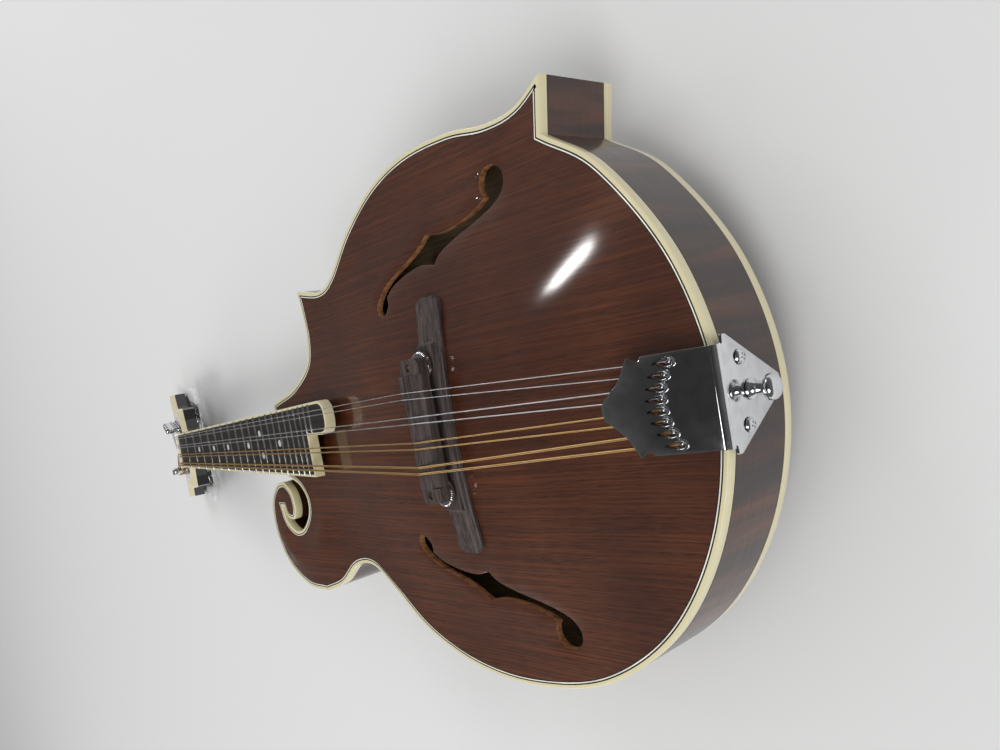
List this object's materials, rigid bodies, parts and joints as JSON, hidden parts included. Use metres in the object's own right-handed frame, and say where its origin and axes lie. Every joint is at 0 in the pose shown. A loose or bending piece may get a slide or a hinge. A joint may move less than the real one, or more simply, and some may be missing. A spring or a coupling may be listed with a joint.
{
  "type": "mandola",
  "caption": "Carved-top mandola with a scroll, two points, f-holes, paired strings, adjustable bridge, cast tailpiece and worm-geared tuners.",
  "frame": {"origin": "centre of the whole instrument's box in X and Y, lowest point in Z", "axes": "+Y from the tailpiece to the headstock, +X towards the treble side, +Z out of the front, square to the plane of the rim's front edge"},
  "size_m": [0.289, 0.7408, 0.1132],
  "materials": {
    "stained_spruce": "high gloss lacquer, dark red-brown",
    "stained_maple": "high gloss lacquer, dark brown flamed maple",
    "bare_wood": "unfinished inside wood",
    "ivoroid": "polished cream with fine grain",
    "black_veneer": "gloss black",
    "ebony": "satin",
    "bridge_ebony": "satin",
    "bone": "satin",
    "steel": "plain drawn wire",
    "bronze": "phosphor bronze winding",
    "brass": "threaded rod",
    "chrome": "polished plating",
    "pearloid": "white pearl plastic"
  },
  "bodies": {
    "instrument": {"back_binding": "ivoroid", "back_lining": "bare_wood", "back_plate": "stained_maple", "bridge_base": "bridge_ebony", "bridge_post_bass": "brass", "bridge_post_treble": "brass", "end_pin": "chrome", "fingerboard": "ebony", "fingerboard_binding": "ivoroid", "front_lining": "bare_wood", "head_block": "bare_wood", "headstock_binding": "ivoroid", "headstock_veneer": "black_veneer", "horn_block": "bare_wood", "neck": "stained_maple", "nut": "bone", "ribs": "stained_maple", "soundboard": "stained_spruce", "tail_block": "bare_wood", "tailpiece_bracket": "chrome", "tailpiece_cover": "chrome", "tailpiece_screw_bass": "chrome", "tailpiece_screw_treble": "chrome", "tone_bar_bass": "bare_wood", "tone_bar_treble": "bare_wood", "top_binding": "ivoroid", "truss_rod": "steel", "truss_rod_cover": "black_veneer", "tuner_plate_bass": "chrome", "tuner_plate_treble": "chrome", "upper_point_block": "bare_wood", "string_treble_1": "steel", "string_treble_2": "steel", "string_treble_3": "steel", "string_treble_4": "steel", "string_bass_1": "bronze", "string_bass_2": "bronze", "string_bass_3": "bronze", "string_bass_4": "bronze"},
    "saddle": {"bridge_saddle": "bridge_ebony"},
    "wheel_treble": {"thumbwheel_treble": "chrome"},
    "wheel_bass": {"thumbwheel_bass": "chrome"},
    "key_treble_1": {"tuner_key_treble_1": "pearloid"},
    "post_treble_1": {"string_post_treble_1": "chrome"},
    "key_treble_2": {"tuner_key_treble_2": "pearloid"},
    "post_treble_2": {"string_post_treble_2": "chrome"},
    "key_treble_3": {"tuner_key_treble_3": "pearloid"},
    "post_treble_3": {"string_post_treble_3": "chrome"},
    "key_treble_4": {"tuner_key_treble_4": "pearloid"},
    "post_treble_4": {"string_post_treble_4": "chrome"},
    "key_bass_1": {"tuner_key_bass_1": "pearloid"},
    "post_bass_1": {"string_post_bass_1": "chrome"},
    "key_bass_2": {"tuner_key_bass_2": "pearloid"},
    "post_bass_2": {"string_post_bass_2": "chrome"},
    "key_bass_3": {"tuner_key_bass_3": "pearloid"},
    "post_bass_3": {"string_post_bass_3": "chrome"},
    "key_bass_4": {"tuner_key_bass_4": "pearloid"},
    "post_bass_4": {"string_post_bass_4": "chrome"}
  },
  "joints": [
    {"name": "treble_wheel_turn", "type": "hinge", "parent": "saddle", "child": "wheel_treble", "pos_m": [0.02948, -0.19509, 0.09998], "axis": [0, 0, 1], "range_deg": [-615, 1025]},
    {"name": "bass_wheel_turn", "type": "hinge", "parent": "saddle", "child": "wheel_bass", "pos_m": [-0.03652, -0.19509, 0.09998], "axis": [0, 0, 1], "range_deg": [-615, 1025]},
    {"name": "saddle_height", "type": "slide", "parent": "instrument", "child": "saddle", "axis": [0, 0, 1], "range_m": [-0.0012, 0.002], "deforming": ["string_treble_1", "string_treble_2", "string_treble_3", "string_treble_4", "string_bass_1", "string_bass_2", "string_bass_3", "string_bass_4"]},
    {"name": "treble_key_1_turn", "type": "hinge", "parent": "instrument", "child": "key_treble_1", "pos_m": [0.01552, 0.24921, 0.03599], "axis": [0.9976, -0.066, 0.0227], "continuous": true},
    {"name": "treble_post_1_turn", "type": "hinge", "parent": "instrument", "child": "post_treble_1", "pos_m": [0.01598, 0.26165, 0.05191], "axis": [0, 0.3256, 0.9455], "continuous": true},
    {"name": "treble_key_2_turn", "type": "hinge", "parent": "instrument", "child": "key_treble_2", "pos_m": [0.01712, 0.2709, 0.02852], "axis": [0.9976, -0.066, 0.0227], "continuous": true},
    {"name": "treble_post_2_turn", "type": "hinge", "parent": "instrument", "child": "post_treble_2", "pos_m": [0.01758, 0.28335, 0.04444], "axis": [0, 0.3256, 0.9455], "continuous": true},
    {"name": "treble_key_3_turn", "type": "hinge", "parent": "instrument", "child": "key_treble_3", "pos_m": [0.01872, 0.29259, 0.02105], "axis": [0.9976, -0.066, 0.0227], "continuous": true},
    {"name": "treble_post_3_turn", "type": "hinge", "parent": "instrument", "child": "post_treble_3", "pos_m": [0.01919, 0.30504, 0.03697], "axis": [0, 0.3256, 0.9455], "continuous": true},
    {"name": "treble_key_4_turn", "type": "hinge", "parent": "instrument", "child": "key_treble_4", "pos_m": [0.02033, 0.31429, 0.01358], "axis": [0.9976, -0.066, 0.0227], "continuous": true},
    {"name": "treble_post_4_turn", "type": "hinge", "parent": "instrument", "child": "post_treble_4", "pos_m": [0.02079, 0.32673, 0.0295], "axis": [0, 0.3256, 0.9455], "continuous": true},
    {"name": "bass_key_1_turn", "type": "hinge", "parent": "instrument", "child": "key_bass_1", "pos_m": [-0.02256, 0.24921, 0.03599], "axis": [-0.9976, -0.066, 0.0227], "continuous": true},
    {"name": "bass_post_1_turn", "type": "hinge", "parent": "instrument", "child": "post_bass_1", "pos_m": [-0.02302, 0.26165, 0.05191], "axis": [0, 0.3256, 0.9455], "continuous": true},
    {"name": "bass_key_2_turn", "type": "hinge", "parent": "instrument", "child": "key_bass_2", "pos_m": [-0.02417, 0.2709, 0.02852], "axis": [-0.9976, -0.066, 0.0227], "continuous": true},
    {"name": "bass_post_2_turn", "type": "hinge", "parent": "instrument", "child": "post_bass_2", "pos_m": [-0.02463, 0.28335, 0.04444], "axis": [0, 0.3256, 0.9455], "continuous": true},
    {"name": "bass_key_3_turn", "type": "hinge", "parent": "instrument", "child": "key_bass_3", "pos_m": [-0.02577, 0.29259, 0.02105], "axis": [-0.9976, -0.066, 0.0227], "continuous": true},
    {"name": "bass_post_3_turn", "type": "hinge", "parent": "instrument", "child": "post_bass_3", "pos_m": [-0.02623, 0.30504, 0.03697], "axis": [0, 0.3256, 0.9455], "continuous": true},
    {"name": "bass_key_4_turn", "type": "hinge", "parent": "instrument", "child": "key_bass_4", "pos_m": [-0.02738, 0.31429, 0.01358], "axis": [-0.9976, -0.066, 0.0227], "continuous": true},
    {"name": "bass_post_4_turn", "type": "hinge", "parent": "instrument", "child": "post_bass_4", "pos_m": [-0.02784, 0.32673, 0.0295], "axis": [0, 0.3256, 0.9455], "continuous": true}
  ],
  "couplings": [
    {"joint": "saddle_height", "follows": "treble_wheel_turn", "m_per_rad": 0.00011141},
    {"joint": "bass_wheel_turn", "follows": "treble_wheel_turn", "ratio": 1},
    {"joint": "treble_post_1_turn", "follows": "treble_key_1_turn", "ratio": -0.071429},
    {"joint": "treble_post_2_turn", "follows": "treble_key_2_turn", "ratio": -0.071429},
    {"joint": "treble_post_3_turn", "follows": "treble_key_3_turn", "ratio": -0.071429},
    {"joint": "treble_post_4_turn", "follows": "treble_key_4_turn", "ratio": -0.071429},
    {"joint": "bass_post_1_turn", "follows": "bass_key_1_turn", "ratio": 0.071429},
    {"joint": "bass_post_2_turn", "follows": "bass_key_2_turn", "ratio": 0.071429},
    {"joint": "bass_post_3_turn", "follows": "bass_key_3_turn", "ratio": 0.071429},
    {"joint": "bass_post_4_turn", "follows": "bass_key_4_turn", "ratio": 0.071429}
  ]
}
